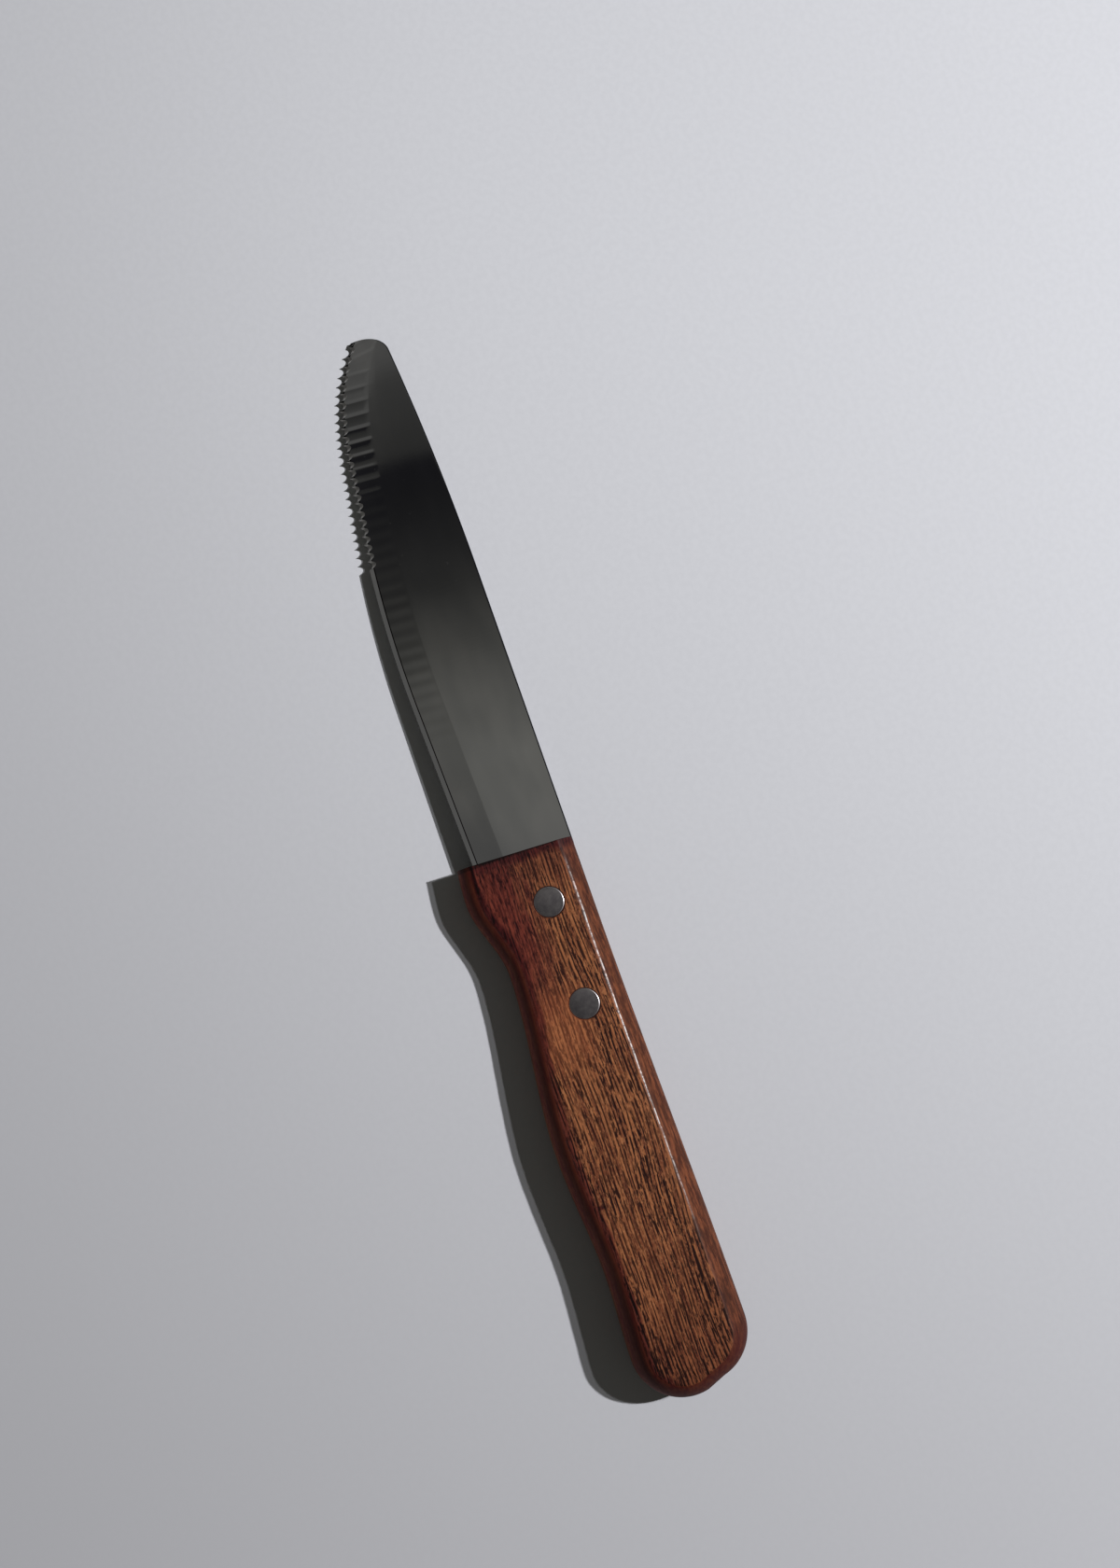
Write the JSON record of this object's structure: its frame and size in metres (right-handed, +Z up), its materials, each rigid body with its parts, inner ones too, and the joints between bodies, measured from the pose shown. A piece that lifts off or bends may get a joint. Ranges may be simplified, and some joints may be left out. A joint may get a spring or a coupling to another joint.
{
  "type": "steak knife",
  "caption": "Serrated round-nosed table knife with a one-piece wooden handle held by pressed rivets, lying on its side.",
  "frame": {"origin": "bottom centre of the knife's box, on the surface that it lies on", "axes": "+X along the knife towards the butt of the handle, +Y towards the spine, +Z up through the thickness"},
  "size_m": [0.253, 0.029, 0.0149],
  "materials": {
    "blade_steel": "bright polished stainless steel, finely ground on the bevel and the teeth",
    "handle_wood": "open-grained tropical hardwood, stained red-brown and lacquered, wine red at both ends",
    "rivet_steel": "flat polished heads with a broken edge"
  },
  "bodies": {
    "root": {"blade": "blade_steel", "handle": "handle_wood", "front_rivet_male": "rivet_steel", "front_rivet_female": "rivet_steel", "rear_rivet_male": "rivet_steel", "rear_rivet_female": "rivet_steel"}
  },
  "joints": []
}
